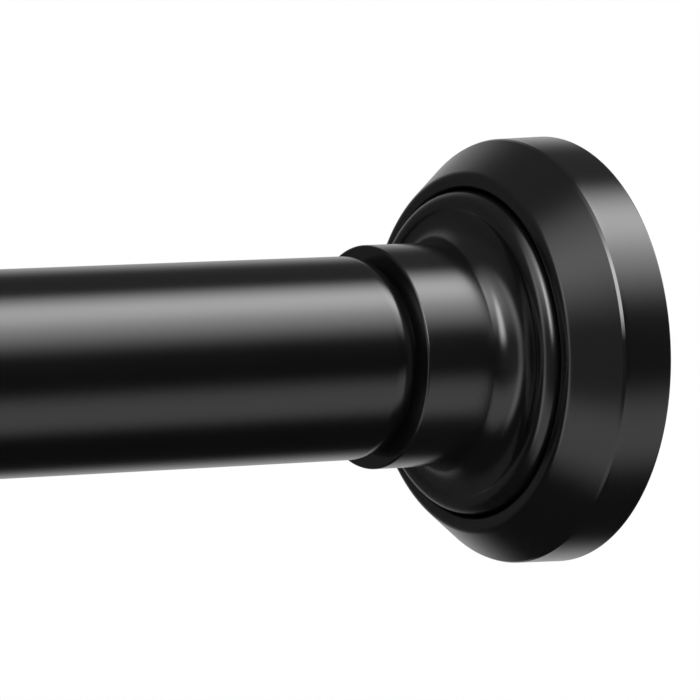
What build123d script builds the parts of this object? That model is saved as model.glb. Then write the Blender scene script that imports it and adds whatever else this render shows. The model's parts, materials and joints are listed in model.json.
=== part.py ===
"""Spring tension rod for a curtain, with a stepped round flange at each end.

The rod lies along X. The origin is the centre of the fixed end's wall face, the rod runs
towards -X, and +Z is up. All sizes are in millimetres.
"""
import math
import os

from build123d import *

# Lengths of the whole rod
set_length = 914.0            # wall to wall, as it stands in the model
shortest_length = 711.0       # fully closed, with the spring squeezed
longest_length = 1219.0       # fully drawn out
closed_gap = 2.0              # left between ferrule and small collar when fully closed

# Tubes
outer_tube_radius = 12.7
outer_tube_wall = 0.7
tube_gap = 0.9                # between the two tubes, on the radius
inner_tube_wall = 0.7
shoulder_radius = 5.6         # rounding where the large tube draws in to its neck
shoulder_tuck = 0.32          # inner end of that rounding, inside the collar

# Bell collar: sleeve over the tube, flaring through a cove to a round-edged disc
collar_step = 1.3             # sleeve, past the outside of the large tube
collar_length = 13.42         # bell face to the sleeve's free end
collar_end_break = 0.25
collar_bore_break = 0.35      # room for the large tube's rounding
cove_radius = 3.5
bell_face_width = 2.65        # flat and round edge, outside the cove
bell_edge_round = 1.75
bell_depth = 5.0              # bell face to the bell's back
web_thickness = 2.7           # inner floor that the tube's end stops on

# Flange ring: the stepped round ring against the wall
groove_width = 0.35           # dark line between the bell and the ring
land_width = 2.0              # flat annulus round the groove
land_edge_round = 1.3
slope_width = 4.25            # sloping face, on the radius
slope_height = 5.35           # and along the rod
rim_height = 7.3              # side of the rim, along the rod
rim_flare = 0.15              # rim's back edge, outside its front one
rim_wall = 2.0
bell_proud = 1.52             # bell face, past the ring's land
floor_thickness = 2.2         # pierced floor of the well that the bell turns in
ring_edge_break = 0.25
core_wall = 1.6               # metal left where the castings are cored out from behind
core_rib_count = 6
core_rib_width = 1.6

# Wall pad: rubber disc held in the back of the ring
pad_proud = 0.6               # how far the pad stands past the rim
pad_lip_inset = 1.3           # lip edge, inside the rim's outside
pad_pocket_room = 1.5         # pocket, outside the pivot washer
grip_groove_count = 4
grip_groove_pitch = 4.6
grip_groove_width = 1.6
grip_groove_depth = 0.8
grip_edge_land = 3.4          # lip edge to the middle of the outermost groove

# Swivel between the collar and the ring
thrust_washer_thickness = 0.8
thrust_washer_inset = 0.8     # washer's edge, inside the bell's
bush_wall = 1.5
screw_radius = 2.5
screw_head_rim = 2.25
screw_head_height = 2.8
screw_slot_width = 1.1
screw_slot_depth = 1.6
screw_grip = 12.0             # length of screw inside the tube plug
pivot_washer_rim = 3.5
pivot_washer_thickness = 1.0

# Tube plug: ribbed plug in the small tube's end and in the large tube's neck
plug_length = 15.4
plug_rib_count = 3
plug_rib_height = 0.6
plug_rib_length = 2.4
plug_skin = 1.2               # wall round the recess in the plug's inner face
plug_core_wall = 2.5          # wall round the screw, inside that recess
plug_core_depth = 6.0

# Mouth ferrule: guide bush in the outer tube's open end
ferrule_flange_length = 3.0
ferrule_flange_step = 0.6     # flange, past the outside of the tube
ferrule_insert_length = 16.0

# Lock: split sleeve, cone nut and spindle
sleeve_length = 28.0
sleeve_hub_length = 8.0
sleeve_mouth_wall = 1.7
sleeve_taper_deg = 6.0
slit_count = 4
slit_width = 2.0
grip_ring_count = 5
grip_ring_width = 1.0
grip_ring_depth = 0.35
cone_nut_length = 14.0
cone_nut_inset = 1.0          # nut's wide end, inside the sleeve's mouth when locked
key_width = 1.6
key_inset = 0.65              # key's outer face, inside the sleeve's skin
thread_pitch = 2.0
unlock_turns = 2
spindle_radius = 4.0
spindle_flat = 3.2            # flat to centre
journal_radius = 3.0
spindle_stub = 1.0            # spindle past the hub clip
spindle_nose = 12.0           # spindle past the stop washer, inside the spring
clip_thickness = 1.0
clip_rim = 2.4                # clip, past the shaft that it grips
clip_gap = 3.6
clip_groove_depth = 0.6
hub_washer_rim = 4.0
small_washer_thickness = 1.0
lock_end_gap = 3.0            # spindle's end to the tube plug, when fully closed

# Spring and what holds it
spring_stroke = 40.0
spring_set_length = 110.0
spring_wire = 2.0
spring_side_gap = 1.2         # coil to the small tube's bore
spring_turns = 12             # open turns between the two closed ends
spring_coil_gap = 0.05        # between the wires of a closed end
washer_side_gap = 0.2
seat_washer_thickness = 1.5
guide_flange_length = 6.0
guide_spigot_length = 18.0
stroke_gap = 2.0              # left between guide and cone nut at full squeeze and unlock
dimple_radius = 2.0
dimple_offset = 0.9           # dimple centre, outside the tube's skin
dimple_count = 3

# Clearances
fit_gap = 0.05                # running and pressed fits, on the radius
slide_gap = 0.1               # telescoping fits, on the radius
taper_gap = 0.15              # cone nut to sleeve
swivel_play = 0.05            # along the rod, on each side of the ring's floor
end_gap = 0.02                # between a tube's end and the face that it stops on


# Radii that follow from the tubes
outer_bore = outer_tube_radius - outer_tube_wall
inner_tube_radius = outer_bore - tube_gap
inner_bore = inner_tube_radius - inner_tube_wall
sleeve_radius = outer_bore - fit_gap
sleeve_mouth_radius = sleeve_radius - sleeve_mouth_wall
key_radius = sleeve_radius - key_inset
seat_washer_radius = inner_bore - washer_side_gap
spring_mean_radius = inner_bore - spring_side_gap - spring_wire / 2
dimple_centre = inner_tube_radius + dimple_offset
dimple_bump = dimple_radius + inner_tube_wall
guide_groove_radius = dimple_centre - dimple_bump - slide_gap

# Radii of the end fitting, each stepping out from the one inside it
collar_radius = outer_tube_radius + collar_step
bell_radius = collar_radius + cove_radius + bell_face_width
ring_bore_radius = bell_radius + groove_width
land_radius = ring_bore_radius + land_width
rim_radius = land_radius + slope_width
bush_radius = screw_radius + bush_wall
pivot_washer_radius = bush_radius + pivot_washer_rim
pad_lip_radius = rim_radius - pad_lip_inset

# Heights of the end fitting, measured from the wall along the rod
rim_front = pad_proud + rim_height
land_height = rim_front + slope_height
bell_face = land_height + bell_proud
bell_back = bell_face - bell_depth
collar_end = bell_face + collar_length
web_front = bell_back + web_thickness
tube_start = web_front + end_gap
floor_front = bell_back - swivel_play - thrust_washer_thickness
floor_back = floor_front - floor_thickness
pivot_washer_front = floor_back - swivel_play
pivot_washer_back = pivot_washer_front - pivot_washer_thickness
screw_head_back = pivot_washer_back - screw_head_height
plug_end = web_front + plug_length
neck_root = shoulder_radius - (outer_tube_radius - inner_tube_radius)
shoulder_end = collar_end - shoulder_tuck + math.sqrt(shoulder_radius ** 2 - neck_root ** 2)

# Places along the rod, as X
ferrule_face = -(shortest_length - collar_end - closed_gap)
outer_tube_mouth = ferrule_face + ferrule_flange_length
telescope_in = set_length - shortest_length - spring_stroke
telescope_out = longest_length - set_length
spindle_front = -(plug_end + lock_end_gap + telescope_in)
hub_clip_front = spindle_front - spindle_stub
hub_washer_front = hub_clip_front - clip_thickness
sleeve_front = hub_washer_front - small_washer_thickness
hub_back = sleeve_front - sleeve_hub_length
sleeve_back = sleeve_front - sleeve_length
unlock_travel = unlock_turns * thread_pitch
guide_front = sleeve_back + cone_nut_inset - unlock_travel - spring_stroke - stroke_gap
inner_tube_end = guide_front - guide_flange_length
guide_groove_middle = inner_tube_end - guide_spigot_length / 2
guide_back = inner_tube_end - guide_spigot_length
stop_clip_front = guide_back - end_gap
stop_washer_front = stop_clip_front - clip_thickness
spring_front = stop_washer_front - small_washer_thickness
spring_back = spring_front - spring_set_length
seat_washer_back = spring_back - seat_washer_thickness
flats_front = guide_front + spring_stroke
spindle_back = spring_front - spindle_nose


def turned(*outline):
    """Solid of revolution about Z from (radius, height) points."""
    return revolve(make_face(Plane.XZ * Polyline(*outline, close=True)), Axis.Z)


def turned_with_arc(outline, middle):
    """Solid of revolution about Z from an open outline, closed by an arc through one point."""
    arc = ThreePointArc(outline @ 1, middle, outline @ 0)
    return revolve(make_face(Plane.XZ * (outline + arc)), Axis.Z)


def pipe(outside, inside, low, high):
    """Round ring about Z between two heights."""
    return turned((inside, low), (outside, low), (outside, high), (inside, high))


def disc(radius, low, high):
    """Solid round bar about Z between two heights."""
    return turned((0, low), (radius, low), (radius, high), (0, high))


def around(count, shape):
    """Copies of a shape evenly spaced about Z."""
    return [Rot(0, 0, 360.0 * index / count) * shape for index in range(count)]


def edges_at(shape, radius, height):
    """Circular edges of one radius at one height."""
    circles = shape.edges().filter_by(GeomType.CIRCLE)
    return [
        edge for edge in circles
        if math.isclose(edge.radius, radius) and math.isclose(edge.arc_center.Z, height)
    ]


def along_rod(shape):
    """Turns a shape built up Z so that its heights become X."""
    return Rot(0, 90, 0) * shape


def at_fixed_end(shape):
    """Sets a fitting, built from the wall up Z, against the fixed wall."""
    return Rot(0, -90, 0) * shape


def at_sprung_end(shape):
    """Sets a fitting, built from the wall up Z, against the far wall."""
    return Pos(-set_length, 0, 0) * Rot(0, 90, 0) * shape


# End fitting

def flange_ring():
    """Stepped ring: round rim, sloping face, flat land and a well with a pierced floor."""
    hole = bush_radius + fit_gap
    hollow_radius = rim_radius - rim_wall
    back_radius = rim_radius + rim_flare
    ring = turned(
        (hole, floor_back),
        (hollow_radius, floor_back),
        (hollow_radius, pad_proud),
        (back_radius, pad_proud),
        (rim_radius, rim_front),
        (land_radius, land_height),
        (ring_bore_radius, land_height),
        (ring_bore_radius, floor_front),
        (hole, floor_front),
    )
    ring = fillet(edges_at(ring, land_radius, land_height), land_edge_round)
    crisp = edges_at(ring, rim_radius, rim_front)
    crisp += edges_at(ring, ring_bore_radius, land_height)
    crisp += edges_at(ring, back_radius, pad_proud)
    return chamfer(crisp, ring_edge_break) - ring_core(hollow_radius)


def ring_core(hollow_radius):
    """Hollow behind the sloping face, crossed by ribs, that keeps the casting's walls even."""
    well_side = ring_bore_radius + core_wall
    rise = slope_height / slope_width
    roof = rim_front - core_wall * math.hypot(1, rise)
    core = turned(
        (well_side, floor_back),
        (hollow_radius, floor_back),
        (hollow_radius, roof + (rim_radius - hollow_radius) * rise),
        (well_side, roof + (rim_radius - well_side) * rise),
    )
    rib = Pos(rim_radius / 2, 0, land_height / 2) * Box(rim_radius, core_rib_width, land_height)
    for web in around(core_rib_count, rib):
        core -= web
    return core


def wall_pad():
    """Rubber disc with grip grooves, a lip over the rim and a pocket for the screw's head."""
    body_radius = rim_radius - rim_wall - fit_gap
    body_front = floor_back - end_gap
    lip_front = pad_proud - end_gap
    pocket_radius = pivot_washer_radius + pad_pocket_room
    pocket_floor = screw_head_back - end_gap
    pad = turned(
        (0, 0),
        (pad_lip_radius, 0),
        (pad_lip_radius, lip_front),
        (body_radius, lip_front),
        (body_radius, body_front),
        (pocket_radius, body_front),
        (pocket_radius, pocket_floor),
        (0, pocket_floor),
    )
    half = grip_groove_width / 2
    for index in range(grip_groove_count):
        middle = pad_lip_radius - grip_edge_land - index * grip_groove_pitch
        pad -= pipe(middle + half, middle - half, 0, grip_groove_depth)
    return pad


def bell_collar():
    """Sleeve over the tube that sweeps out through a cove to a round-edged disc."""
    bore = inner_tube_radius + fit_gap
    screw_hole = screw_radius + fit_gap
    cove_reach = cove_radius * (1 - math.sqrt(0.5))
    outline = Polyline(
        (collar_radius + cove_radius, bell_face),
        (bell_radius, bell_face),
        (bell_radius, bell_back),
        (screw_hole, bell_back),
        (screw_hole, web_front),
        (bore, web_front),
        (bore, collar_end),
        (collar_radius, collar_end),
        (collar_radius, bell_face + cove_radius),
    )
    cove_middle = (collar_radius + cove_reach, bell_face + cove_reach)
    collar = turned_with_arc(outline, cove_middle)
    collar = fillet(edges_at(collar, bell_radius, bell_face), bell_edge_round)
    collar = chamfer(edges_at(collar, collar_radius, collar_end), collar_end_break)
    collar = chamfer(edges_at(collar, bore, collar_end), collar_bore_break)
    core_top = bell_face - core_wall
    return collar - pipe(bell_radius - core_wall, collar_radius + core_wall, bell_back, core_top)


def thrust_washer():
    """Slippery washer that the bell turns on."""
    outside = bell_radius - thrust_washer_inset
    return pipe(outside, bush_radius + slide_gap, floor_front, floor_front + thrust_washer_thickness)


def pivot_bush():
    """Spacer that lets the screw be tight while the ring's floor stays free to turn."""
    return pipe(bush_radius, screw_radius + fit_gap, pivot_washer_front, bell_back)


def pivot_washer():
    """Washer under the screw's head that holds the ring on the rod."""
    return pipe(pivot_washer_radius, screw_radius + fit_gap, pivot_washer_back, pivot_washer_front)


def pivot_screw():
    """Pan head screw with a cross slot, from the wall side into the tube plug."""
    head_radius = screw_radius + screw_head_rim
    screw = disc(head_radius, screw_head_back, pivot_washer_back)
    screw = fillet(edges_at(screw, head_radius, screw_head_back), screw_head_height / 3)
    screw += disc(screw_radius, pivot_washer_back, web_front + screw_grip)
    slot = Pos(0, 0, screw_head_back + screw_slot_depth / 2)
    slot = slot * Box(head_radius, screw_slot_width, screw_slot_depth)
    return screw - slot - Rot(0, 0, 90) * slot


def tube_plug():
    """Ribbed plug, pressed into the tube, that the screw bites into."""
    outside = inner_bore - fit_gap
    root = outside - plug_rib_height
    plug = disc(root, web_front, plug_end)
    pitch = plug_length / plug_rib_count
    for index in range(plug_rib_count):
        start = web_front + index * pitch + (pitch - plug_rib_length) / 2
        plug += disc(outside, start, start + plug_rib_length)
    plug -= disc(screw_radius + fit_gap, web_front, web_front + screw_grip + end_gap)
    core = pipe(root - plug_skin, screw_radius + plug_core_wall, plug_end - plug_core_depth, plug_end)
    return plug - core


# Tubes

def necked_bar(radius, neck, rounding):
    """Bar from the fixed collar's web to the ferrule, rounded down to a neck at the collar."""
    centre = radius - rounding
    turn = math.acos((neck - centre) / rounding)
    outline = Polyline(
        (neck, shoulder_end - rounding * math.sin(turn)),
        (neck, tube_start),
        (0, tube_start),
        (0, -outer_tube_mouth),
        (radius, -outer_tube_mouth),
        (radius, shoulder_end),
    )
    half = turn / 2
    arc_middle = (centre + rounding * math.cos(half), shoulder_end - rounding * math.sin(half))
    return turned_with_arc(outline, arc_middle)


def outer_tube():
    """Large tube, necked at the fixed end so that both collars are alike."""
    tube = necked_bar(outer_tube_radius, inner_tube_radius, shoulder_radius)
    tube -= necked_bar(outer_bore, inner_bore, shoulder_radius - outer_tube_wall)
    return at_fixed_end(tube)


def mouth_ferrule():
    """Flanged bush in the large tube's mouth that the small tube slides through."""
    bore = inner_tube_radius + slide_gap
    flange = outer_tube_radius + ferrule_flange_step
    insert = outer_bore - fit_gap
    ferrule = turned(
        (bore, ferrule_face),
        (flange, ferrule_face),
        (flange, outer_tube_mouth),
        (insert, outer_tube_mouth),
        (insert, outer_tube_mouth + ferrule_insert_length),
        (bore, outer_tube_mouth + ferrule_insert_length),
    )
    ferrule = fillet(edges_at(ferrule, flange, ferrule_face), ferrule_flange_step)
    return along_rod(ferrule)


def inner_tube():
    """Small tube, dented inwards at the spindle guide's groove and behind the spring's seat."""
    far_end = -set_length + tube_start
    tube = pipe(inner_tube_radius, inner_bore, far_end, inner_tube_end)
    seat_reach = math.sqrt(dimple_bump ** 2 - (dimple_centre - seat_washer_radius) ** 2)
    for height in (guide_groove_middle, seat_washer_back - seat_reach - end_gap):
        centre = Pos(dimple_centre, 0, height)
        skin = centre * Sphere(dimple_bump)
        skin &= disc(inner_tube_radius, height - dimple_bump, height + dimple_bump)
        for dent in around(dimple_count, skin):
            tube += dent
        for hollow in around(dimple_count, centre * Sphere(dimple_radius)):
            tube -= hollow
    return along_rod(tube)


# Lock and spring drive between the tubes

def two_flat_bar(radius, flat, low, high):
    """Round bar with two flats."""
    middle = Pos(0, 0, (low + high) / 2)
    return disc(radius, low, high) & middle * Box(2 * radius, 2 * flat, high - low)


def spindle():
    """Turned bar: journal in the hub, thread in the cone nut, flats in the guide."""
    bar = disc(journal_radius, hub_back, spindle_front)
    bar += disc(spindle_radius, flats_front, hub_back)
    bar += two_flat_bar(spindle_radius, spindle_flat, spindle_back, flats_front)
    hub_root = journal_radius - clip_groove_depth
    stop_root = spindle_radius - clip_groove_depth
    bar -= pipe(journal_radius, hub_root, hub_washer_front, hub_clip_front)
    bar -= pipe(spindle_radius, stop_root, stop_washer_front, stop_clip_front)
    return along_rod(bar)


def snap_clip(shaft_radius, low, high):
    """Open ring sprung into a groove."""
    outside = shaft_radius + clip_rim
    clip = pipe(outside, shaft_radius - clip_groove_depth + fit_gap, low, high)
    mouth = Pos(outside, 0, (low + high) / 2) * Box(2 * outside, clip_gap, high - low)
    return along_rod(clip - mouth)


def washer_on(shaft_radius, radius, low, high):
    """Plain washer on the spindle."""
    return along_rod(pipe(radius, shaft_radius + fit_gap, low, high))


def lock_sleeve():
    """Split sleeve in the large tube: four fingers, ringed for grip, that the cone nut spreads."""
    finger_length = sleeve_length - sleeve_hub_length
    shrink = finger_length * math.tan(math.radians(sleeve_taper_deg))
    sleeve = turned(
        (journal_radius + fit_gap, sleeve_front),
        (journal_radius + fit_gap, hub_back),
        (sleeve_mouth_radius - shrink, hub_back),
        (sleeve_mouth_radius, sleeve_back),
        (sleeve_radius, sleeve_back),
        (sleeve_radius, sleeve_front),
    )
    grip_root = sleeve_radius - grip_ring_depth
    pitch = finger_length / (grip_ring_count + 1)
    for index in range(grip_ring_count):
        start = sleeve_back + (index + 1) * pitch - grip_ring_width / 2
        sleeve -= pipe(sleeve_radius, grip_root, start, start + grip_ring_width)
    slit = Pos(sleeve_radius, 0, sleeve_back + finger_length / 2)
    slit = slit * Box(sleeve_radius, slit_width, finger_length)
    for cut in around(slit_count, slit):
        sleeve -= cut
    return along_rod(sleeve)


def cone_nut():
    """Tapered nut on the spindle's thread, keyed into the sleeve's slits."""
    slope = math.tan(math.radians(sleeve_taper_deg))
    wide_end = sleeve_back + cone_nut_inset
    narrow_end = wide_end + cone_nut_length
    wide = sleeve_mouth_radius - cone_nut_inset * slope - taper_gap
    narrow = wide - cone_nut_length * slope
    bore = spindle_radius + fit_gap
    nut = turned((bore, wide_end), (wide, wide_end), (narrow, narrow_end), (bore, narrow_end))
    key_start = (bore + narrow) / 2
    key = Pos((key_start + key_radius) / 2, 0, (wide_end + narrow_end) / 2)
    key = key * Box(key_radius - key_start, key_width, cone_nut_length)
    for rib in around(slit_count, key):
        nut += rib
    return along_rod(nut)


def spindle_guide():
    """Plug in the small tube's inner end, with a two-flat hole that turns the spindle."""
    groove_half = math.sqrt(dimple_bump ** 2 - (dimple_centre - inner_bore) ** 2) + slide_gap
    groove_back = guide_groove_middle - groove_half
    groove_front = guide_groove_middle + groove_half
    guide = disc(outer_bore - slide_gap, inner_tube_end, guide_front)
    guide += disc(inner_bore - fit_gap, guide_back, inner_tube_end)
    guide -= pipe(inner_bore, guide_groove_radius, groove_back, groove_front)
    hole_radius = spindle_radius + slide_gap
    return along_rod(guide - two_flat_bar(hole_radius, spindle_flat + slide_gap, guide_back, guide_front))


def coil(pitch, low, high):
    """Round wire wound up Z, and the ball that joins it to the next stretch."""
    path = Pos(0, 0, low) * Helix(pitch, high - low, spring_mean_radius)
    wire = Plane(path @ 0, z_dir=path % 0) * Circle(spring_wire / 2)
    ball = Pos(*(path @ 1)) * Sphere(spring_wire / 2)
    return sweep(wire, path=path, is_frenet=True) + ball


def compression_spring():
    """Wire spring with closed, flat ground ends, from the stop washer to the seat washer."""
    closed = spring_wire + spring_coil_gap
    open_top = spring_set_length - closed
    spring = coil(closed, 0, closed)
    spring += coil((open_top - closed) / spring_turns, closed, open_top)
    spring += coil(closed, open_top, spring_set_length)
    side = 4 * spring_mean_radius
    between = Pos(0, 0, spring_set_length / 2) * Box(side, side, spring_set_length)
    return along_rod(Pos(0, 0, spring_back) * (spring & between))


def fitting_parts(seat, end):
    """Every piece of one end fitting, seated against its wall."""
    return {
        f"wall_pad_{end}": seat(wall_pad()),
        f"flange_ring_{end}": seat(flange_ring()),
        f"thrust_washer_{end}": seat(thrust_washer()),
        f"pivot_bush_{end}": seat(pivot_bush()),
        f"pivot_washer_{end}": seat(pivot_washer()),
        f"pivot_screw_{end}": seat(pivot_screw()),
        f"bell_collar_{end}": seat(bell_collar()),
        f"tube_plug_{end}": seat(tube_plug()),
    }


def lock_parts():
    """The lock in the large tube and the spindle that works it."""
    return {
        "lock_sleeve": lock_sleeve(),
        "cone_nut": cone_nut(),
        "spindle": spindle(),
        "hub_clip": snap_clip(journal_radius, hub_washer_front, hub_clip_front),
        "hub_washer": washer_on(
            journal_radius, journal_radius + hub_washer_rim, sleeve_front, hub_washer_front
        ),
    }


def spring_parts():
    """The spring in the small tube and what it bears on at each end."""
    return {
        "spindle_guide": spindle_guide(),
        "stop_clip": snap_clip(spindle_radius, stop_washer_front, stop_clip_front),
        "stop_washer": washer_on(
            spindle_radius, seat_washer_radius, spring_front, stop_washer_front
        ),
        "compression_spring": compression_spring(),
        "spring_seat_washer": washer_on(
            spindle_radius, seat_washer_radius, seat_washer_back, spring_back
        ),
    }


os.makedirs("parts", exist_ok=True)
nodes = {
    "outer_tube": outer_tube(),
    "mouth_ferrule": mouth_ferrule(),
    "inner_tube": inner_tube(),
}
nodes.update(fitting_parts(at_fixed_end, "fixed"))
nodes.update(fitting_parts(at_sprung_end, "sprung"))
nodes.update(lock_parts())
nodes.update(spring_parts())
for name, shape in nodes.items():
    export_step(shape, f"parts/{name}.step")

print(f"telescope slides in {telescope_in:.1f} mm and out {telescope_out:.1f} mm")
print(f"spring lies between x {spring_back:.1f} and x {spring_front:.1f} mm")
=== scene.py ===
# %% [markdown]
# # A spring tension rod, dressed for the camera
#
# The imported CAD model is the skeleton: it fixes every size, place and joint. This notebook gives it
# the looks of the real thing, a satin black rod with a stepped round flange at each end. Round
# pieces that show are turned again with finer edges, the spring is wound again, and the other
# hidden hardware keeps its CAD shape and gets a material. The CAD is in millimetres and Blender in
# metres, so sizes are written in millimetres and multiplied by MM once.

import json
import math

import bmesh
import bpy
from mathutils import Matrix, Vector

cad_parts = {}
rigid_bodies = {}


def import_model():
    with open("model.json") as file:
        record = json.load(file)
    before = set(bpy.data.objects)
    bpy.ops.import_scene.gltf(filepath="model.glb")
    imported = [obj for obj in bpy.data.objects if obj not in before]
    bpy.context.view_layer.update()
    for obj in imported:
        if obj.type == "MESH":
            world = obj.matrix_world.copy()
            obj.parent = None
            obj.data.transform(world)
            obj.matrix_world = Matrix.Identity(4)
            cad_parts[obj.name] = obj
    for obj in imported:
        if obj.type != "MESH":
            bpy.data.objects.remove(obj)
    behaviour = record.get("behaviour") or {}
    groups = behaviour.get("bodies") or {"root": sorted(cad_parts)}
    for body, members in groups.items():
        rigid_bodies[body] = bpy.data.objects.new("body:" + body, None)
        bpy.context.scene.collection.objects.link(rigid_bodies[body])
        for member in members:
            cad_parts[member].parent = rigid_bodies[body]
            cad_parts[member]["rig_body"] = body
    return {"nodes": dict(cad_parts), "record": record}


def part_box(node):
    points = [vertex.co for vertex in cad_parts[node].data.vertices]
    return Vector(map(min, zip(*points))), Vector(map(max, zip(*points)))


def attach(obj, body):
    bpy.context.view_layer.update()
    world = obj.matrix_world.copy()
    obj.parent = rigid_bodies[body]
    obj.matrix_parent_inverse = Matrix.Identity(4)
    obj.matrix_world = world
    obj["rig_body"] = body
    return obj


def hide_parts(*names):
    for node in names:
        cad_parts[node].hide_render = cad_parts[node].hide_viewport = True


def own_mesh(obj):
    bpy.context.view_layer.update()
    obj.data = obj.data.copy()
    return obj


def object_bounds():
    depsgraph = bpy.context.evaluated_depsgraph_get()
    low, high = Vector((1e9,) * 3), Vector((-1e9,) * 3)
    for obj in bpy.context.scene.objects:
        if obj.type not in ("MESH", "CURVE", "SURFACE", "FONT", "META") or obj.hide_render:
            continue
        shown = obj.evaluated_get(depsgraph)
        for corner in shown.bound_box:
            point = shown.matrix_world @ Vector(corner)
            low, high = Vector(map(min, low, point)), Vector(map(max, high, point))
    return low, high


MM = 0.001
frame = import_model()
cad_low, cad_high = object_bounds()
print("the CAD box is", [round(side / MM, 1) for side in cad_high - cad_low], "mm")

# %% [markdown]
# ## The camera
#
# The view shows one end of the rod from a little above, with the rod running out of the picture on
# the left. A long lens nearly a metre away keeps the circles of the flange round. The camera is
# placed from the centre of the collar's free end, because that circle is the easiest to find in a
# picture: so far to the right, so far down and so far away. Building the rotation from the three
# axes of the view avoids guessing Euler angles.

# %% Place the camera
collar_end = 28.19                  # collar's free end, from the wall
view_azimuth = math.radians(-32.95)
view_elevation = math.radians(4.0)
seen_right = 2.077
seen_down = 0.908
seen_away = 987.217
focal_length = 407.08

right = Vector((math.cos(view_azimuth), math.sin(view_azimuth), 0))
level = Vector((-math.sin(view_azimuth), math.cos(view_azimuth), 0))
forward = level * math.cos(view_elevation) - Vector((0, 0, math.sin(view_elevation)))
up = right.cross(forward)

camera_data = bpy.data.cameras.new("camera")
camera_data.sensor_width = 36.0
camera_data.lens = focal_length
camera_data.clip_end = 50.0
camera = bpy.data.objects.new("camera", camera_data)
bpy.context.scene.collection.objects.link(camera)
eye = Vector((-collar_end, 0, 0)) - right * seen_right + up * seen_down - forward * seen_away
aim = Matrix((right, up, -forward)).transposed().to_4x4()
camera.matrix_world = Matrix.Translation(eye * MM) @ aim
bpy.context.scene.camera = camera
print("the camera stands", round(eye.length), "mm from the fixed wall")

# %% [markdown]
# ## A small kit for node trees
#
# Every material below is a tree of nodes. Two helpers keep them readable: one adds a node and sets
# its values by name, the other wires an output to an input.

# %% Helpers for nodes
def add_node(tree, kind, **settings):
    """A new node. A setting is an attribute of the node."""
    node = tree.nodes.new(kind)
    for name, value in settings.items():
        setattr(node, name, value)
    return node


def math_node(tree, operation, first, second=None):
    """A Math node on two sockets or numbers; gives its output."""
    node = add_node(tree, "ShaderNodeMath", operation=operation)
    for socket, value in zip(node.inputs, (first, second)):
        if isinstance(value, bpy.types.NodeSocket):
            tree.links.new(value, socket)
        elif value is not None:
            socket.default_value = value
    return node.outputs[0]


print("node helpers ready")

# %% [markdown]
# ## The studio
#
# A black satin surface has almost no colour of its own: what the eye reads is the room in it. Here
# the room is a set of long soft panels that hang along the rod and draw the stripes on the tube:
# one overhead with a card beside it, a faint ceiling, a backdrop, a low card and a faint fill in
# front. Two strips stand upright and draw the thin lines on the rounded edges. Each panel's
# brightness changes along the rod, and the panels turn a little round it towards its open end, so
# that the stripes drift slightly along the tube. All are written in the world, as a function of
# direction, so they light the part evenly and leave no noise. The camera itself sees plain white.

# %% Sizes of the lights
# Each panel: the height of its middle round the rod (0 faces the viewer, 90 is overhead), half its
# width and how far its edges fade, in degrees, and its brightness at two values of the
# direction's X.
panels = {
    "overhead": (66.0, 21.0, 22.0, (-0.74, 1.15), (0.54, 3.3)),
    "wall_card": (82.0, 13.0, 14.0, (0.36, 0.0), (0.50, 2.9)),
    "ceiling": (122.0, 28.0, 14.0, (-0.74, 0.12), (0.54, 0.10)),
    "backdrop": (-170.0, 39.0, 15.0, (-0.25, 0.09), (0.60, 0.78)),
    "low_card": (-39.0, 19.5, 12.0, (-0.74, 0.68), (0.54, 0.66)),
    "front_fill": (3.0, 28.0, 18.0, (-0.74, 0.13), (0.54, 0.0)),
}
# Each strip: its bearing (0 is the side that the viewer sees, 90 is along the rod from its open
# end), half its width and how far its edges fade, in degrees, its brightness, and the direction's Z
# where it starts and where it ends.
strips = {
    "side_strip": (6.0, 10.5, 9.0, 6.0, 0.26, 0.80),
    "end_strip": (74.0, 8.0, 8.0, 0.9, -0.7, 0.8),
}
panel_ends = 0.95                   # direction's X where the panels end
end_edge = 0.15                     # softness of an end
room_brightness = 0.02              # glow between the lights
room_twist = 0.19                   # turn of the panels towards the open end, in radians
twist_from = 0.46                   # direction's X up to which the turn is whole
twist_to = 0.56                     # direction's X from which there is none
print(len(panels) + len(strips), "lights planned")

# %% [markdown]
# A long panel has its edges at two angles round the rod, so each direction is flattened onto the
# plane across the rod, where it is only an angle. For the upright strips it is flattened onto the
# level plane. A light is then a band about one angle, with a soft cut at its ends.

# %% Give the world its directions
world = bpy.data.worlds.new("studio")
bpy.context.scene.world = world
world.use_nodes = True
sky = world.node_tree
sky.nodes.clear()
direction = add_node(sky, "ShaderNodeTexCoord").outputs["Generated"]
split = add_node(sky, "ShaderNodeSeparateXYZ")
sky.links.new(direction, split.inputs[0])
toward_viewer = math_node(sky, "MULTIPLY", split.outputs["Y"], -1.0)
toward_open_end = math_node(sky, "MULTIPLY", split.outputs["X"], -1.0)


def flat_direction(first, second):
    """The direction's part in one plane, made one long again."""
    pair = add_node(sky, "ShaderNodeCombineXYZ")
    sky.links.new(first, pair.inputs["X"])
    sky.links.new(second, pair.inputs["Y"])
    unit = add_node(sky, "ShaderNodeVectorMath", operation="NORMALIZE")
    sky.links.new(pair.outputs[0], unit.inputs[0])
    return unit.outputs[0]


around_rod = flat_direction(toward_viewer, split.outputs["Z"])
around_post = flat_direction(toward_viewer, toward_open_end)
print("each direction has an angle round the rod and one round a post")

# %% Helpers that shape a light
def ramp(value, low, high, first=0.0, last=1.0, kind="SMOOTHSTEP"):
    """Goes from first, where the value is low, to last, where it is high."""
    node = add_node(sky, "ShaderNodeMapRange", interpolation_type=kind)
    sky.links.new(value, node.inputs["Value"])
    node.inputs["From Min"].default_value = low
    node.inputs["From Max"].default_value = high
    node.inputs["To Min"].default_value = first
    node.inputs["To Max"].default_value = last
    return node.outputs["Result"]


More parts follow.
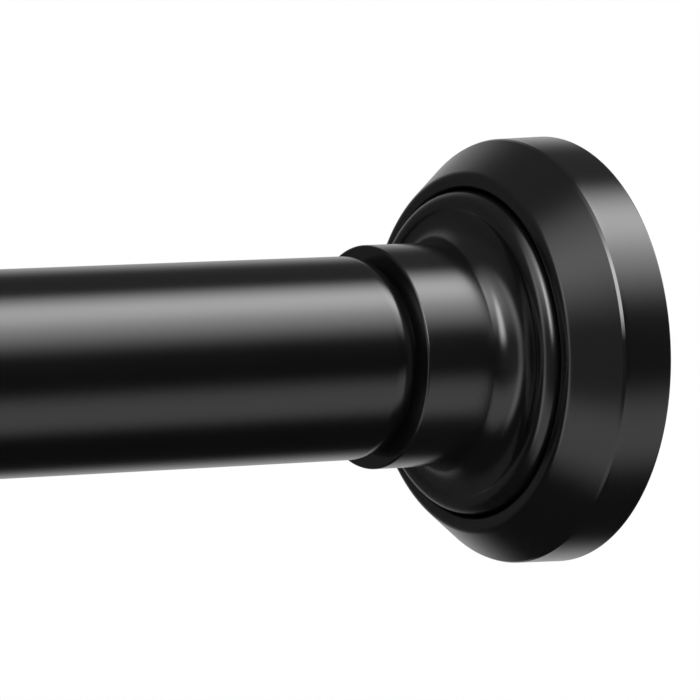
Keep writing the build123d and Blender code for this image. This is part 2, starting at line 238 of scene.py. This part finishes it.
def within(value, start, end):
    """1 between two values and 0 outside, with soft edges."""
    rising = ramp(value, start - end_edge, start + end_edge)
    falling = ramp(value, end + end_edge, end - end_edge)
    return math_node(sky, "MULTIPLY", rising, falling)


def band(flat, middle, half_width, fade):
    """1 in a band about one angle and 0 outside, with edges that fade."""
    facing = add_node(sky, "ShaderNodeVectorMath", operation="DOT_PRODUCT")
    sky.links.new(flat, facing.inputs[0])
    angle = math.radians(middle)
    facing.inputs[1].default_value = (math.cos(angle), math.sin(angle), 0)
    away = math_node(sky, "ARCCOSINE", facing.outputs["Value"])
    return ramp(away, math.radians(half_width + fade), math.radians(half_width - fade))


print("light helpers ready")

# %% Hang the panels and the strips
twist = ramp(split.outputs["X"], twist_from, twist_to, room_twist, 0.0, "LINEAR")
twisted = add_node(sky, "ShaderNodeVectorRotate", rotation_type="Z_AXIS")
sky.links.new(around_rod, twisted.inputs["Vector"])
sky.links.new(twist, twisted.inputs["Angle"])
between_ends = within(split.outputs["X"], -panel_ends, panel_ends)

light = room_brightness
for middle, half_width, fade, (first_x, first), (last_x, last) in panels.values():
    across = band(twisted.outputs[0], middle, half_width, fade)
    shape = math_node(sky, "MULTIPLY", across, between_ends)
    brightness = ramp(split.outputs["X"], first_x, last_x, first, last, "LINEAR")
    light = math_node(sky, "ADD", math_node(sky, "MULTIPLY", shape, brightness), light)
for bearing, half_width, fade, brightness, low, high in strips.values():
    across = band(around_post, bearing, half_width, fade)
    shape = math_node(sky, "MULTIPLY", across, within(split.outputs["Z"], low, high))
    light = math_node(sky, "ADD", math_node(sky, "MULTIPLY", shape, brightness), light)
print(len(panels), "panels and", len(strips), "strips light the part")

# %% Show plain white to the camera
seen_directly = add_node(sky, "ShaderNodeLightPath").outputs["Is Camera Ray"]
room = add_node(sky, "ShaderNodeBackground")
sky.links.new(light, room.inputs["Strength"])
white = add_node(sky, "ShaderNodeBackground")
choose = add_node(sky, "ShaderNodeMixShader")
sky.links.new(seen_directly, choose.inputs[0])
sky.links.new(room.outputs[0], choose.inputs[1])
sky.links.new(white.outputs[0], choose.inputs[2])
white.inputs["Color"].default_value = (1, 1, 1, 1)
output = add_node(sky, "ShaderNodeOutputWorld")
sky.links.new(choose.outputs[0], output.inputs[0])
bpy.context.scene.view_settings.view_transform = "Standard"
print("the part mirrors the room, and the camera sees white")

# %% [markdown]
# ## The floor
#
# The rod hangs between two walls, well clear of the ground, so the floor lies below it and only
# catches a soft shadow. It fades out with distance, which leaves no horizon line, and glossy rays
# pass it, so that the panels alone draw the highlights on the black finish.

# %% Lay the floor
floor_drop = 0.30
floor_reach = 4.0
floor_fade_start = 0.9
floor_fade_end = 2.6
floor_colour = (0.86, 0.86, 0.86, 1)

floor_mesh = bpy.data.meshes.new("floor")
centre = (cad_low + cad_high) / 2
reach = [(-1, -1), (1, -1), (1, 1), (-1, 1)]
floor_corners = [(centre.x + x * floor_reach, y * floor_reach, -floor_drop) for x, y in reach]
floor_mesh.from_pydata(floor_corners, [], [(0, 1, 2, 3)])
floor = bpy.data.objects.new("floor", floor_mesh)
bpy.context.scene.collection.objects.link(floor)

floor_paint = bpy.data.materials.new("floor_paint")
floor_paint.use_nodes = True
tree = floor_paint.node_tree
tree.nodes.clear()
place = add_node(tree, "ShaderNodeTexCoord").outputs["Object"]
distance = add_node(tree, "ShaderNodeVectorMath", operation="DISTANCE")
tree.links.new(place, distance.inputs[0])
distance.inputs[1].default_value = (centre.x, 0, -floor_drop)
fade = add_node(tree, "ShaderNodeMapRange", interpolation_type="SMOOTHSTEP")
tree.links.new(distance.outputs["Value"], fade.inputs["Value"])
fade.inputs["From Min"].default_value = floor_fade_start
fade.inputs["From Max"].default_value = floor_fade_end
glossy = add_node(tree, "ShaderNodeLightPath").outputs["Is Glossy Ray"]
clear = math_node(tree, "MAXIMUM", fade.outputs["Result"], glossy)
matt = add_node(tree, "ShaderNodeBsdfDiffuse")
matt.inputs["Color"].default_value = floor_colour
blend = add_node(tree, "ShaderNodeMixShader")
tree.links.new(clear, blend.inputs[0])
tree.links.new(matt.outputs[0], blend.inputs[1])
tree.links.new(add_node(tree, "ShaderNodeBsdfTransparent").outputs[0], blend.inputs[2])
tree.links.new(blend.outputs[0], add_node(tree, "ShaderNodeOutputMaterial").inputs[0])
floor_mesh.materials.append(floor_paint)
print("the floor lies", floor_drop, "m under the rod")

# %% [markdown]
# ## Finishes
#
# Each finish is the same short recipe with its own numbers: a fine noise gives the surface its
# grain through a bump, and a broad noise drifts the colour and the roughness a little, because no
# real coat is perfectly even. All patterns read the object's own coordinates, which are metres in
# this model, so a scale of 1000 is about one blob to the millimetre.

# %% A recipe for a finish
broad_scale = 60.0
broad_detail = 4.0
grain_detail = 3.0


def finish(name, colour, drift, roughness, roughness_drift, grain_scale, grain_height,
           metallic=0.0, specular=0.5):
    """A material whose colour, roughness and grain vary over the surface."""
    material = bpy.data.materials.new(name)
    material.use_nodes = True
    tree = material.node_tree
    tree.nodes.clear()
    surface = add_node(tree, "ShaderNodeBsdfPrincipled")
    surface.inputs["Metallic"].default_value = metallic
    surface.inputs["Specular IOR Level"].default_value = specular
    place = add_node(tree, "ShaderNodeTexCoord").outputs["Object"]

    broad = add_node(tree, "ShaderNodeTexNoise")
    broad.inputs["Scale"].default_value = broad_scale
    broad.inputs["Detail"].default_value = broad_detail
    tree.links.new(place, broad.inputs["Vector"])
    shade = add_node(tree, "ShaderNodeMix", data_type="RGBA")
    tree.links.new(broad.outputs["Fac"], shade.inputs["Factor"])
    shade.inputs["A"].default_value = (*[c * (1 - drift) for c in colour], 1)
    shade.inputs["B"].default_value = (*[c * (1 + drift) for c in colour], 1)
    tree.links.new(shade.outputs["Result"], surface.inputs["Base Color"])

    grain = add_node(tree, "ShaderNodeTexNoise")
    grain.inputs["Scale"].default_value = grain_scale
    grain.inputs["Detail"].default_value = grain_detail
    tree.links.new(place, grain.inputs["Vector"])
    sheen = add_node(tree, "ShaderNodeMapRange")
    tree.links.new(broad.outputs["Fac"], sheen.inputs["Value"])
    sheen.inputs["To Min"].default_value = roughness - roughness_drift
    sheen.inputs["To Max"].default_value = roughness + roughness_drift
    tree.links.new(sheen.outputs["Result"], surface.inputs["Roughness"])
    bump = add_node(tree, "ShaderNodeBump")
    bump.inputs["Strength"].default_value = 1.0
    bump.inputs["Distance"].default_value = grain_height * MM
    tree.links.new(grain.outputs["Fac"], bump.inputs["Height"])
    tree.links.new(bump.outputs["Normal"], surface.inputs["Normal"])
    tree.links.new(surface.outputs[0], add_node(tree, "ShaderNodeOutputMaterial").inputs[0])
    return material


finishes = {
    "black_metal": finish("satin_black_coat", (0.005, 0.005, 0.0054), 0.15, 0.19, 0.02,
                          900, 0.0015, specular=1.0),
    "black_tube": finish("satin_black_enamel", (0.003, 0.003, 0.0033), 0.15, 0.18, 0.02,
                         700, 0.001, specular=1.0),
    "black_nylon": finish("black_nylon_moulding", (0.02, 0.02, 0.021), 0.1, 0.48, 0.05,
                          2500, 0.006),
    "rubber": finish("soft_black_rubber", (0.03, 0.03, 0.03), 0.2, 0.78, 0.08, 3000, 0.012,
                     specular=0.3),
    "white_nylon": finish("natural_nylon", (0.72, 0.71, 0.66), 0.05, 0.42, 0.05, 1500, 0.004),
    "grey_nylon": finish("grey_nylon_moulding", (0.28, 0.28, 0.29), 0.08, 0.45, 0.05,
                         1500, 0.004),
    "zinc_steel": finish("bright_zinc_plate", (0.62, 0.63, 0.64), 0.08, 0.3, 0.07, 1200, 0.004,
                         metallic=1.0),
    "spring_steel": finish("oiled_spring_steel", (0.42, 0.43, 0.44), 0.15, 0.34, 0.08,
                           1800, 0.004, metallic=1.0),
}
print(len(finishes), "finishes mixed")

# %% [markdown]
# A powder coat pulls thin over a sharp outer edge as it cures and comes out glossier there. On the
# flange that is the narrow facet at the front of the rim. The roughness is lowered where the
# distance from the axis is that of the facet, which the piece's own coordinates give.

# %% Gloss on the rim's front edge
rim_radius = 26.75                  # at the rim's front
facet_run = 0.15                    # facet's width across the rod
facet_drop = 0.21                   # its depth along the rod, on the rim's side
facet_roughness = 0.07
gloss_core = 0.40                   # in facet widths from its middle: whole gloss
gloss_reach = 0.65                  # no gloss left

tree = finishes["black_metal"].node_tree
surface = next(node for node in tree.nodes if node.type == "BSDF_PRINCIPLED")
satin = surface.inputs["Roughness"].links[0].from_socket
apart = add_node(tree, "ShaderNodeSeparateXYZ")
tree.links.new(add_node(tree, "ShaderNodeTexCoord").outputs["Object"], apart.inputs[0])
squares = [math_node(tree, "MULTIPLY", apart.outputs[axis], apart.outputs[axis]) for axis in "YZ"]
from_axis = math_node(tree, "SQRT", math_node(tree, "ADD", *squares))
facet_middle = (rim_radius - facet_run / 2) * MM
off_facet = math_node(tree, "ABSOLUTE", math_node(tree, "SUBTRACT", from_axis, facet_middle))
glossy = add_node(tree, "ShaderNodeMapRange", interpolation_type="SMOOTHSTEP")
tree.links.new(off_facet, glossy.inputs["Value"])
glossy.inputs["From Min"].default_value = facet_run * gloss_reach * MM
glossy.inputs["From Max"].default_value = facet_run * gloss_core * MM
blend = add_node(tree, "ShaderNodeMix", data_type="FLOAT")
tree.links.new(glossy.outputs["Result"], blend.inputs["Factor"])
tree.links.new(satin, blend.inputs["A"])
blend.inputs["B"].default_value = facet_roughness
tree.links.new(blend.outputs["Result"], surface.inputs["Roughness"])
print("the rim's front edge is glossier")

# %% [markdown]
# ## Turned pieces
#
# Tubes, castings and the wall pads are all round about the rod, so each is one outline swung round
# the axis, as on a lathe. The outline is a short list of corners, each with the radius that its
# edge is broken by. Real edges are never knife sharp, and a thin highlight along a broken edge is
# what makes a dark object readable. A helper swaps each corner for an arc, with one more point just
# outside the arc on both sides, so that smooth shading leaves the flats flat.

# %% Round the corners of an outline
arc_step = math.radians(7.5)
flank = 0.06                        # support point beside an arc


def rounded(corners, closed=True):
    """Points along an outline of (place, radius, rounding) corners, in millimetres."""
    points = []
    for index, (place, radius, rounding) in enumerate(corners):
        corner = Vector((place, radius))
        at_end = not closed and index in (0, len(corners) - 1)
        if at_end or rounding == 0:
            points.append(corner)
            continue
        before = Vector(corners[index - 1][:2]) - corner
        after = Vector(corners[(index + 1) % len(corners)][:2]) - corner
        before.normalize()
        after.normalize()
        half = before.angle(after) / 2
        reach = rounding / math.tan(half)
        middle = corner + (before + after).normalized() * rounding / math.sin(half)
        start = corner + before * reach
        turn = math.pi - 2 * half
        sense = math.copysign(1, before.cross(after))
        count = max(3, math.ceil(turn / arc_step))
        points.append(start + before * flank)
        for step in range(count + 1):
            swing = -sense * turn * step / count
            spoke = start - middle
            points.append(middle + Vector((
                spoke.x * math.cos(swing) - spoke.y * math.sin(swing),
                spoke.x * math.sin(swing) + spoke.y * math.cos(swing),
            )))
        points.append(corner + after * (reach + flank))
    if closed:
        points.append(points[0])
    return points


print("outline helper ready")

# %% [markdown]
# The lathe itself is a Geometry Nodes tree. It lays out a flat grid with one row for each point of
# the outline and one column for each step round the axis, looks up the outline's point for each
# row, and moves the grid's vertices to their places. Merging by distance closes the seam, the
# section and any point on the axis. One tree serves every turned piece, through its inputs.

# %% Build the lathe tree
def tree_input(tree, name, kind, default=None):
    """A named input of a node group."""
    socket = tree.interface.new_socket(name, in_out="INPUT", socket_type=kind)
    if default is not None:
        socket.default_value = default


lathe = bpy.data.node_groups.new("lathe", "GeometryNodeTree")
tree_input(lathe, "Outline", "NodeSocketGeometry")
tree_input(lathe, "Steps", "NodeSocketInt", 256)
tree_input(lathe, "Finish", "NodeSocketMaterial")
lathe.interface.new_socket("Piece", in_out="OUTPUT", socket_type="NodeSocketGeometry")
given = add_node(lathe, "NodeGroupInput")
outline_size = add_node(lathe, "GeometryNodeAttributeDomainSize")
lathe.links.new(given.outputs["Outline"], outline_size.inputs[0])
columns = math_node(lathe, "ADD", given.outputs["Steps"], 1.0)
grid = add_node(lathe, "GeometryNodeMeshGrid")
lathe.links.new(outline_size.outputs["Point Count"], grid.inputs["Vertices X"])
lathe.links.new(columns, grid.inputs["Vertices Y"])
number = add_node(lathe, "GeometryNodeInputIndex").outputs[0]
row = math_node(lathe, "FLOOR", math_node(lathe, "DIVIDE", number, columns))
column = math_node(lathe, "SUBTRACT", number, math_node(lathe, "MULTIPLY", row, columns))
lookup = add_node(lathe, "GeometryNodeSampleIndex", data_type="FLOAT_VECTOR", domain="POINT")
lathe.links.new(given.outputs["Outline"], lookup.inputs["Geometry"])
lathe.links.new(add_node(lathe, "GeometryNodeInputPosition").outputs[0], lookup.inputs["Value"])
lathe.links.new(row, lookup.inputs["Index"])
found = add_node(lathe, "ShaderNodeSeparateXYZ")
lathe.links.new(lookup.outputs[0], found.inputs[0])
share = math_node(lathe, "DIVIDE", column, given.outputs["Steps"])
angle = math_node(lathe, "MULTIPLY", share, math.tau)
sideways = math_node(lathe, "MULTIPLY", found.outputs["Z"], math_node(lathe, "SINE", angle))
upward = math_node(lathe, "MULTIPLY", found.outputs["Z"], math_node(lathe, "COSINE", angle))
target = add_node(lathe, "ShaderNodeCombineXYZ")
lathe.links.new(found.outputs["X"], target.inputs["X"])
lathe.links.new(sideways, target.inputs["Y"])
lathe.links.new(upward, target.inputs["Z"])
moved = add_node(lathe, "GeometryNodeSetPosition")
lathe.links.new(grid.outputs["Mesh"], moved.inputs["Geometry"])
lathe.links.new(target.outputs[0], moved.inputs["Position"])
merged = add_node(lathe, "GeometryNodeMergeByDistance")
merged.inputs["Distance"].default_value = 0.001 * MM
lathe.links.new(moved.outputs[0], merged.inputs["Geometry"])
smooth = add_node(lathe, "GeometryNodeSetShadeSmooth")
lathe.links.new(merged.outputs[0], smooth.inputs["Geometry"])
real = add_node(lathe, "GeometryNodeRealizeInstances")
lathe.links.new(smooth.outputs[0], real.inputs[0])
painted = add_node(lathe, "GeometryNodeSetMaterial")
lathe.links.new(real.outputs[0], painted.inputs["Geometry"])
lathe.links.new(given.outputs["Finish"], painted.inputs["Material"])
lathe.links.new(painted.outputs[0], add_node(lathe, "NodeGroupOutput").inputs[0])
print("the lathe tree has", len(lathe.nodes), "nodes")

# %% [markdown]
# A modifier's input is named by the socket's identifier, which the helper below looks up. It then
# takes the mesh that the nodes made, turns its faces outwards, and drops the modifier, so that the
# piece is a plain mesh before it is tied to its body.

# %% Make a piece from a tree
def set_inputs(modifier, **values):
    """Gives a Geometry Nodes modifier its inputs by their names."""
    sockets = {item.name: item.identifier for item in modifier.node_group.interface.items_tree}
    for name, value in values.items():
        modifier[sockets[name]] = value


def grow(name, mesh, tree, **values):
    """An object whose mesh is what a tree makes of a starting mesh."""
    piece = bpy.data.objects.new(name, mesh)
    bpy.context.scene.collection.objects.link(piece)
    modifier = piece.modifiers.new("nodes", "NODES")
    modifier.node_group = tree
    set_inputs(modifier, **values)
    depsgraph = bpy.context.evaluated_depsgraph_get()
    grown = bpy.data.meshes.new_from_object(piece.evaluated_get(depsgraph))
    piece.modifiers.clear()
    piece.data = grown
    grown.name = name
    work = bmesh.new()
    work.from_mesh(grown)
    bmesh.ops.recalc_face_normals(work, faces=work.faces)
    work.to_mesh(grown)
    work.free()
    return piece


def turn(name, node, slot, corners, closed=True):
    """Turns a piece from its corners, in place of a CAD node and on that node's body."""
    outline = bpy.data.meshes.new(name + "_outline")
    points = [(place * MM, 0, radius * MM) for place, radius in rounded(corners, closed)]
    outline.from_pydata(points, [(i, i + 1) for i in range(len(points) - 1)], [])
    piece = grow(name, outline, lathe, Steps=256, Finish=finishes[slot])
    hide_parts(node)
    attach(piece, frame["nodes"][node]["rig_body"])
    print(name, "has", len(piece.data.polygons), "faces")


print("piece helpers ready")

# %% [markdown]
# ## The tubes
#
# Two thin steel tubes slide one in the other. The large one is drawn in to a neck at its end, so
# that one size of collar fits both: it rounds over just before the collar, and the neck goes in.
# Its outline runs along the outside and back along the bore, with the rounding as one corner of
# each run. The small tube is a plain section whose ends are deburred.

# %% Turn the tubes
deburr = 0.15
outer_tube_radius = 12.7
inner_tube_radius = 11.1
tube_wall = 0.7
shoulder_radius = 5.6
shoulder_length = 3.6               # past the collar's end
shoulder_end = collar_end + shoulder_length
shoulder_turn = math.radians(42.5)
neck_foot_round = 0.1


def shoulder(outside, neck, rounding):
    """Two corners where a radius draws in to its neck."""
    reach = rounding * math.tan(shoulder_turn / 2)
    foot = shoulder_end - reach - (outside - neck) / math.tan(shoulder_turn)
    return [(-(shoulder_end - reach), outside, rounding), (-foot, neck, neck_foot_round)]


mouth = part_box("outer_tube")[0].x / MM
neck_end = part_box("outer_tube")[1].x / MM
bore_corners = shoulder(outer_tube_radius - tube_wall, inner_tube_radius - tube_wall,
                        shoulder_radius - tube_wall)
outer_section = [(mouth, outer_tube_radius, deburr)]
outer_section += shoulder(outer_tube_radius, inner_tube_radius, shoulder_radius)
outer_section += [
    (neck_end, inner_tube_radius, deburr),
    (neck_end, inner_tube_radius - tube_wall, deburr),
]
outer_section += reversed(bore_corners)
outer_section += [(mouth, outer_tube_radius - tube_wall, deburr)]
turn("outer_tube_enamelled", "outer_tube", "black_tube", outer_section)

far_end, near_end = (corner.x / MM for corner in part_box("inner_tube"))
inner_section = [
    (far_end, inner_tube_radius, deburr),
    (near_end, inner_tube_radius, deburr),
    (near_end, inner_tube_radius - tube_wall, deburr),
    (far_end, inner_tube_radius - tube_wall, deburr),
]
turn("inner_tube_enamelled", "inner_tube", "black_tube", inner_section)

# %% [markdown]
# ## The end fittings
#
# Both ends carry the same fitting, mirrored. Its corners are measured from the wall, and a short
# function sets them against the fixed wall or the far one. The bell collar's cove is one corner
# with a large rounding, and a low bead with a round edge runs round the outside of its face. The
# flange ring has a narrow facet where its slope meets the rim, which catches the light as a thin
# bright line, and a softer corner between its land and its slope.

# %% Sizes of the end fitting
collar_radius = 14.0
cove_radius = 3.5
bell_radius = 20.4
bead_height = 0.25
bead_foot_radius = 17.85
bead_top_radius = 18.37
bead_blend = 0.9
bell_edge_round = 1.7
ring_bore_radius = 20.75
land_radius = 22.5
land_edge_round = 1.3
rim_back_radius = 26.9
rim_wall = 2.0
screw_radius = 2.5
bush_radius = 4.0
fit_gap = 0.05
core_wall = 1.6
fine_edge = 0.2
soft_edge = 0.3
rim_edge = 0.1
ring_bore_edge = 0.45
collar_bore_edge = 0.12

# Heights above the wall
rim_back = 0.6
pad_back = 6.70
floor_back = 6.72
rim_front = 7.58
floor_front = 8.92
bell_back = 9.77
web_front = 12.47
land_height = 13.25
bell_face = 14.77

rod_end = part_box("wall_pad_sprung")[0].x / MM


def against_wall(corners, end):
    """Corners measured from the wall, set at one end of the rod."""
    if end == "fixed":
        return [(-height, radius, rounding) for height, radius, rounding in corners]
    return [(rod_end + height, radius, rounding) for height, radius, rounding in corners]


print("the far wall is at", round(rod_end, 1), "mm")

# %% Turn the bell collars
collar_bore = inner_tube_radius + fit_gap
core_top = bell_face - core_wall
collar_corners = [
    (collar_end, collar_radius, soft_edge),
    (bell_face, collar_radius, cove_radius),
    (bell_face, bead_foot_radius, bead_blend),
    (bell_face + bead_height, bead_top_radius, bead_blend),
    (bell_face + bead_height, bell_radius, bell_edge_round),
    (bell_back, bell_radius, fine_edge),
    (bell_back, bell_radius - core_wall, fine_edge),
    (core_top, bell_radius - core_wall, soft_edge),
    (core_top, collar_radius + core_wall, soft_edge),
    (bell_back, collar_radius + core_wall, fine_edge),
    (bell_back, screw_radius + fit_gap, fine_edge),
    (web_front, screw_radius + fit_gap, fine_edge),
    (web_front, collar_bore, fine_edge),
    (collar_end, collar_bore, collar_bore_edge),
]
for end in ("fixed", "sprung"):
    corners = against_wall(collar_corners, end)
    turn(f"bell_collar_{end}_coated", f"bell_collar_{end}", "black_metal", corners)

# %% Turn the flange rings
hollow_radius = rim_radius - rim_wall
well_side = ring_bore_radius + core_wall
rise = (land_height - rim_front) / (rim_radius - land_radius)
roof = rim_front - core_wall * math.hypot(1, rise)
ring_corners = [
    (rim_front - facet_drop, rim_radius, rim_edge),
    (rim_front + facet_run * rise, rim_radius - facet_run, rim_edge),
    (land_height, land_radius, land_edge_round),
    (land_height, ring_bore_radius, ring_bore_edge),
    (floor_front, ring_bore_radius, soft_edge),
    (floor_front, bush_radius + fit_gap, fine_edge),
    (floor_back, bush_radius + fit_gap, fine_edge),
    (floor_back, well_side, soft_edge),
    (roof + (rim_radius - well_side) * rise, well_side, soft_edge),
    (roof + (rim_radius - hollow_radius) * rise, hollow_radius, soft_edge),
    (rim_back, hollow_radius, fine_edge),
    (rim_back, rim_back_radius, soft_edge),
]
for end in ("fixed", "sprung"):
    corners = against_wall(ring_corners, end)
    turn(f"flange_ring_{end}_coated", f"flange_ring_{end}", "black_metal", corners)

# %% [markdown]
# ## The wall pads
#
# A soft rubber disc is pressed in the back of each ring and stands a little proud of it, so that
# the rubber and not the metal meets the wall. Rings cut in its face give it grip. Its outline
# starts and ends on the axis, so the lathe closes it there.

# %% Turn the wall pads
pad_lip_radius = 25.45
pad_body_radius = 24.7
pad_lip_front = 0.58
pocket_radius = 9.0
pocket_floor = 2.85
groove_count = 4
groove_pitch = 4.6
groove_half_width = 0.8
groove_depth = 0.8
groove_edge = 0.2
lip_edge = 0.1
outermost_groove = 22.05

pad_corners = [(0, 0, 0)]
for index in reversed(range(groove_count)):
    middle = outermost_groove - index * groove_pitch
    pad_corners += [
        (0, middle - groove_half_width, groove_edge),
        (groove_depth, middle - groove_half_width, groove_edge),
        (groove_depth, middle + groove_half_width, groove_edge),
        (0, middle + groove_half_width, groove_edge),
    ]
pad_corners += [
    (0, pad_lip_radius, fine_edge),
    (pad_lip_front, pad_lip_radius, lip_edge),
    (pad_lip_front, pad_body_radius, lip_edge),
    (pad_back, pad_body_radius, soft_edge),
    (pad_back, pocket_radius, soft_edge),
    (pocket_floor, pocket_radius, soft_edge),
    (pocket_floor, 0, 0),
]
for end in ("fixed", "sprung"):
    corners = against_wall(pad_corners, end)
    turn(f"wall_pad_{end}_moulded", f"wall_pad_{end}", "rubber", corners, closed=False)

# %% [markdown]
# ## The mouth ferrule
#
# A black nylon bush finishes the large tube's open end and guides the small tube. Its flange has a
# full round edge, so that curtain rings ride over it.

# %% Turn the ferrule
flange_radius = 13.3
insert_radius = 11.95
slide_gap = 0.1
flange_bore_round = 0.4
flange_edge_round = 0.6
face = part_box("mouth_ferrule")[0].x / MM
inside_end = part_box("mouth_ferrule")[1].x / MM
ferrule_bore = inner_tube_radius + slide_gap
ferrule_corners = [
    (face, ferrule_bore, flange_bore_round),
    (face, flange_radius, flange_edge_round),
    (mouth, flange_radius, fine_edge),
    (mouth, insert_radius, 0),
    (inside_end, insert_radius, soft_edge),
    (inside_end, ferrule_bore, fine_edge),
]
turn("mouth_ferrule_moulded", "mouth_ferrule", "black_nylon", ferrule_corners)

# %% [markdown]
# ## The spring
#
# The compression spring that pushes the two halves apart is wound from round wire. Its first and
# last turns lie closed and are ground flat, so that it stands square on its washers. A path of
# equal steps is bent into the helix by its index, swept with a round section, and everything past
# the two end planes is pressed back onto them.

# %% Sizes of the spring and the tree's inputs
wire = 2.0
closed_pitch = 2.05
open_turns = 12
coil_radius = 8.2
steps_per_turn = 48
wire_sides = 16

winder = bpy.data.node_groups.new("winder", "GeometryNodeTree")
tree_input(winder, "Start", "NodeSocketGeometry")
for name in ("Coil Radius", "Wire Radius", "Closed Pitch", "Open Pitch", "Low End", "High End"):
    tree_input(winder, name, "NodeSocketFloat")
for name in ("Open Turns", "Steps per Turn"):
    tree_input(winder, name, "NodeSocketInt")
tree_input(winder, "Finish", "NodeSocketMaterial")
winder.interface.new_socket("Spring", in_out="OUTPUT", socket_type="NodeSocketGeometry")
given = add_node(winder, "NodeGroupInput")
print("the spring has", open_turns, "open turns and 2 closed ones")

# %% Bend a line into the helix
turns = math_node(winder, "ADD", given.outputs["Open Turns"], 2.0)
steps = math_node(winder, "MULTIPLY", turns, given.outputs["Steps per Turn"])
path = add_node(winder, "GeometryNodeCurvePrimitiveLine")
fine = add_node(winder, "GeometryNodeResampleCurve")
winder.links.new(path.outputs[0], fine.inputs["Curve"])
winder.links.new(math_node(winder, "ADD", steps, 1.0), fine.inputs["Count"])
number = add_node(winder, "GeometryNodeInputIndex").outputs[0]
turned = math_node(winder, "DIVIDE", number, given.outputs["Steps per Turn"])
angle = math_node(winder, "MULTIPLY", turned, math.tau)
first_turn = math_node(winder, "MINIMUM", turned, 1.0)
last_open_turn = math_node(winder, "ADD", given.outputs["Open Turns"], 1.0)
open_share = math_node(winder, "MINIMUM", turned, last_open_turn)
open_part = math_node(winder, "SUBTRACT", open_share, first_turn)
closed_part = math_node(winder, "SUBTRACT", turned, open_part)
open_rise = math_node(winder, "MULTIPLY", open_part, given.outputs["Open Pitch"])
closed_rise = math_node(winder, "MULTIPLY", closed_part, given.outputs["Closed Pitch"])
rise = math_node(winder, "ADD", open_rise, closed_rise)
helix = add_node(winder, "ShaderNodeCombineXYZ")
winder.links.new(math_node(winder, "ADD", rise, given.outputs["Low End"]), helix.inputs["X"])
coil = given.outputs["Coil Radius"]
swing_y = math_node(winder, "MULTIPLY", math_node(winder, "SINE", angle), coil)
swing_z = math_node(winder, "MULTIPLY", math_node(winder, "COSINE", angle), coil)
winder.links.new(swing_y, helix.inputs["Y"])
winder.links.new(swing_z, helix.inputs["Z"])
bent = add_node(winder, "GeometryNodeSetPosition")
winder.links.new(fine.outputs[0], bent.inputs["Geometry"])
winder.links.new(helix.outputs[0], bent.inputs["Position"])
print("the path has", steps_per_turn, "steps to a turn")

# %% Sweep the wire and grind its ends flat
round_wire = add_node(winder, "GeometryNodeCurvePrimitiveCircle")
round_wire.inputs["Resolution"].default_value = wire_sides
winder.links.new(given.outputs["Wire Radius"], round_wire.inputs["Radius"])
swept = add_node(winder, "GeometryNodeCurveToMesh")
swept.inputs["Fill Caps"].default_value = True
winder.links.new(bent.outputs[0], swept.inputs["Curve"])
winder.links.new(round_wire.outputs[0], swept.inputs["Profile Curve"])
where = add_node(winder, "ShaderNodeSeparateXYZ")
winder.links.new(add_node(winder, "GeometryNodeInputPosition").outputs[0], where.inputs[0])
above = math_node(winder, "MAXIMUM", where.outputs["X"], given.outputs["Low End"])
between = math_node(winder, "MINIMUM", above, given.outputs["High End"])
pressed = add_node(winder, "ShaderNodeCombineXYZ")
winder.links.new(between, pressed.inputs["X"])
winder.links.new(where.outputs["Y"], pressed.inputs["Y"])
winder.links.new(where.outputs["Z"], pressed.inputs["Z"])
ground = add_node(winder, "GeometryNodeSetPosition")
winder.links.new(swept.outputs[0], ground.inputs["Geometry"])
winder.links.new(pressed.outputs[0], ground.inputs["Position"])
smooth = add_node(winder, "GeometryNodeSetShadeSmooth")
winder.links.new(ground.outputs[0], smooth.inputs["Geometry"])
real = add_node(winder, "GeometryNodeRealizeInstances")
winder.links.new(smooth.outputs[0], real.inputs[0])
painted = add_node(winder, "GeometryNodeSetMaterial")
winder.links.new(real.outputs[0], painted.inputs["Geometry"])
winder.links.new(given.outputs["Finish"], painted.inputs["Material"])
winder.links.new(painted.outputs[0], add_node(winder, "NodeGroupOutput").inputs[0])
print("the winding tree has", len(winder.nodes), "nodes")

# %% Wind the spring
spring_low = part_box("spring_seat_washer")[1].x
spring_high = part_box("stop_washer")[0].x
open_length = spring_high - spring_low - 2 * closed_pitch * MM
spring = grow(
    "compression_spring_wound", bpy.data.meshes.new("spring_start"), winder,
    **{
        "Coil Radius": coil_radius * MM, "Wire Radius": wire / 2 * MM,
        "Closed Pitch": closed_pitch * MM, "Open Pitch": open_length / open_turns,
        "Open Turns": open_turns, "Steps per Turn": steps_per_turn,
        "Low End": spring_low, "High End": spring_high, "Finish": finishes["spring_steel"],
    },
)
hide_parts("compression_spring")
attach(spring, "drive_spindle")
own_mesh(spring)
print("the spring is", round((spring_high - spring_low) / MM, 1), "mm long")

# %% [markdown]
# ## The hidden hardware
#
# Screws, washers, clips, plugs and the lock keep the shapes of the CAD model. Each takes the finish
# that the record names for it.

# %% Finish the remaining CAD pieces
slots = {item["node"]: item["material_slot"] for item in frame["record"]["subparts"]}
shown = [name for name, node in frame["nodes"].items() if not node.hide_render]
for name in shown:
    mesh = frame["nodes"][name].data
    mesh.materials.clear()
    mesh.materials.append(finishes[slots[name]])
print(len(shown), "CAD pieces keep their shape")
